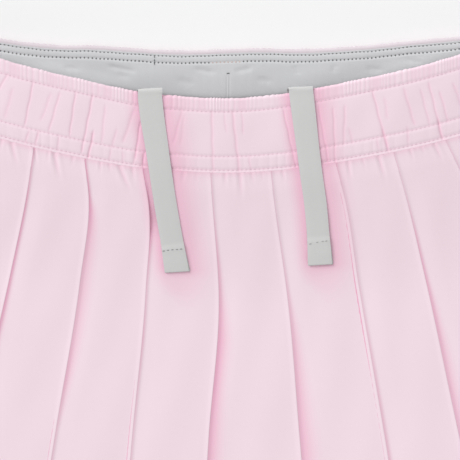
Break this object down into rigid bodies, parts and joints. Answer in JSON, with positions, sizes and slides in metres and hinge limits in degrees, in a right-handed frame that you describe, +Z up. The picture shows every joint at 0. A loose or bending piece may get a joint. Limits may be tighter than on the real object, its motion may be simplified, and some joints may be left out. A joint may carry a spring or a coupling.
{
  "type": "pleated skort",
  "caption": "Child's skort laid flat: pleated skirt on a gathered elastic waistband, inner shorts that line the waist, and flat drawcord ends over the front.",
  "frame": {"origin": "middle of the laid garment's footprint, on the surface that it lies on", "axes": "+Z up from the surface, +Y from the hem to the waist, +X to the viewer's right across the front"},
  "size_m": [0.5206, 0.3476, 0.0181],
  "materials": {
    "pink_cloth": "matt, light woven polyester",
    "grey_knit": "matt, fine jersey knit",
    "grey_tape": "matt, flat woven tape"
  },
  "bodies": {
    "root": {"skirt_front": "pink_cloth", "skirt_back": "pink_cloth", "waistband_front": "pink_cloth", "waistband_back": "pink_cloth", "shorts_front_left": "grey_knit", "shorts_front_right": "grey_knit", "shorts_back_left": "grey_knit", "shorts_back_right": "grey_knit", "drawcord_left": "grey_tape", "drawcord_right": "grey_tape"}
  },
  "joints": []
}
